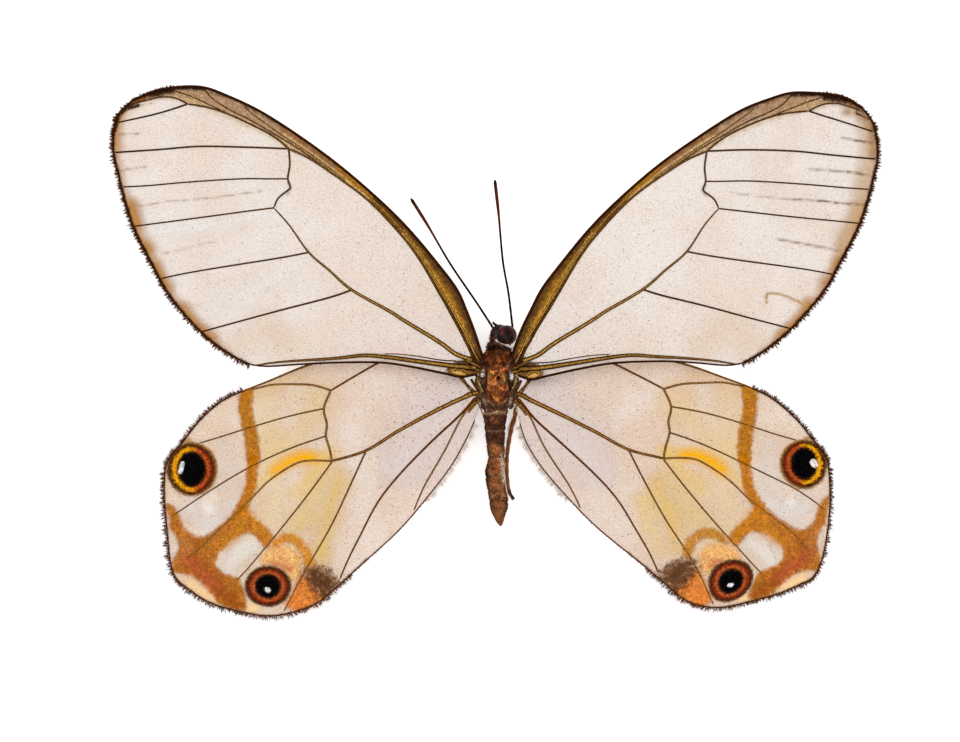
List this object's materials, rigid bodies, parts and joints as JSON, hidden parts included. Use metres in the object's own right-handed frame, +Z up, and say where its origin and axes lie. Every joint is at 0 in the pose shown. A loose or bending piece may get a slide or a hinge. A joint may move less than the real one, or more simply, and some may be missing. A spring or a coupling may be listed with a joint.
{
  "type": "spread butterfly specimen",
  "caption": "Life-size clear-winged amber phantom butterfly, dried with wings spread, lying on its belly with veined wings, legs and feelers.",
  "frame": {"origin": "on the floor under the middle of the whole specimen's box, on the body's midline", "axes": "+X to the animal's left, -Y towards its head, +Z up, away from the surface it lies on"},
  "size_m": [0.0579, 0.0401, 0.0036],
  "materials": {
    "wing": "clear pinkish membrane with amber and brown veins, ochre bands and ringed eyespots on the hindwings",
    "body_fur": "short brown hairs and scales",
    "abdomen": "dull dark brown scales",
    "leg": "brown, slightly glossy",
    "eye": "glossy dark brown"
  },
  "bodies": {
    "root": {"head": "body_fur", "eye_left": "eye", "eye_right": "eye", "palp_left": "body_fur", "palp_right": "body_fur", "proboscis": "leg", "antenna_left": "leg", "antenna_right": "leg", "thorax": "body_fur", "abdomen": "abdomen", "forewing_left": "wing", "forewing_right": "wing", "hindwing_left": "wing", "hindwing_right": "wing", "foreleg_left": "leg", "foreleg_right": "leg", "midleg_left": "leg", "midleg_right": "leg", "hindleg_left": "leg", "hindleg_right": "leg"}
  },
  "joints": []
}
